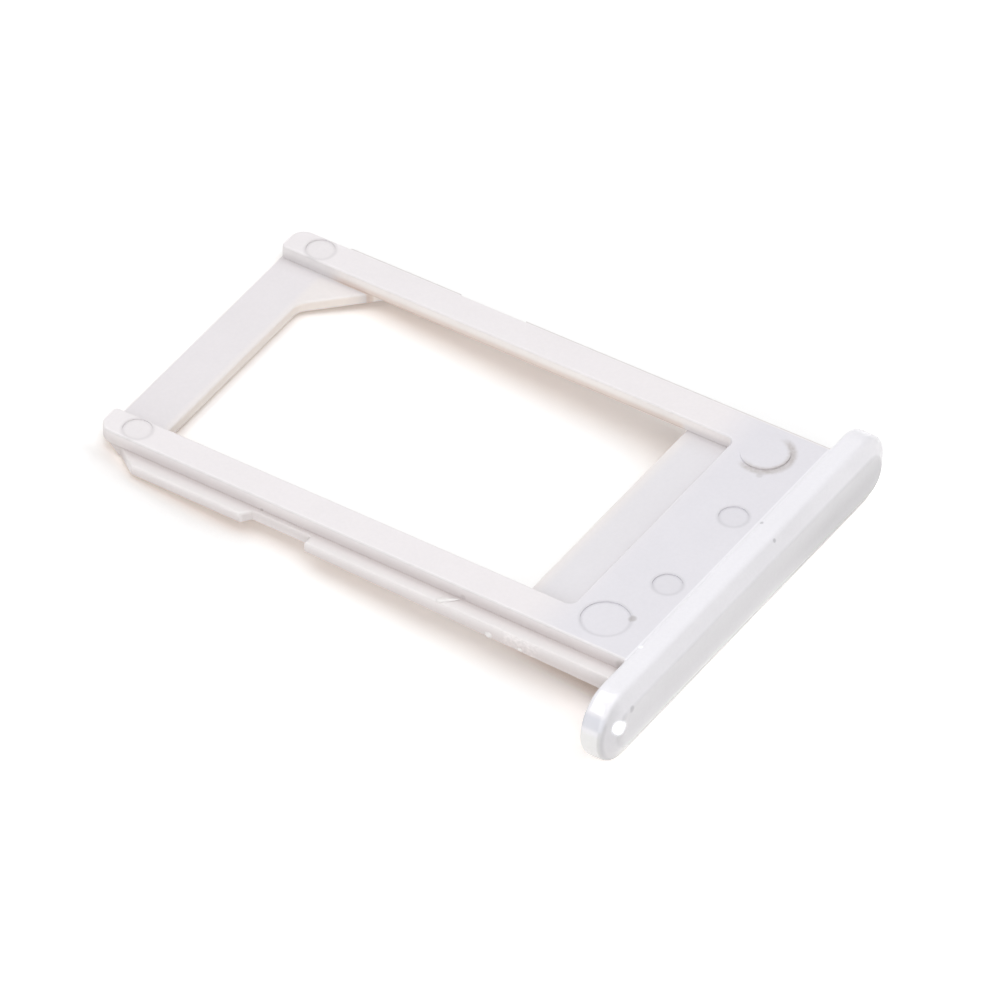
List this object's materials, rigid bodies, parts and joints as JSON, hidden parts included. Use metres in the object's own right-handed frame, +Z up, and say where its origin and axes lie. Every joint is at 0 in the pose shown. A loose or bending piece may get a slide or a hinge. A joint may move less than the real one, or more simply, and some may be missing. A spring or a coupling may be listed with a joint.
{
  "type": "sim card tray",
  "caption": "Slide-out card tray with a recessed pocket over a keyed through-opening, notched side guides and a bevelled, round-ended fascia.",
  "frame": {"origin": "middle of the underside of the part's box, at the height of the fascia's lower edge", "axes": "+X across the tray, +Y from the fascia to the rear end, the way the tray slides in, +Z up out of the card pocket"},
  "size_m": [0.027, 0.0342, 0.0042],
  "materials": {
    "tray": "satin, off-white"
  },
  "bodies": {
    "root": {"sim_tray": "tray"}
  },
  "joints": []
}
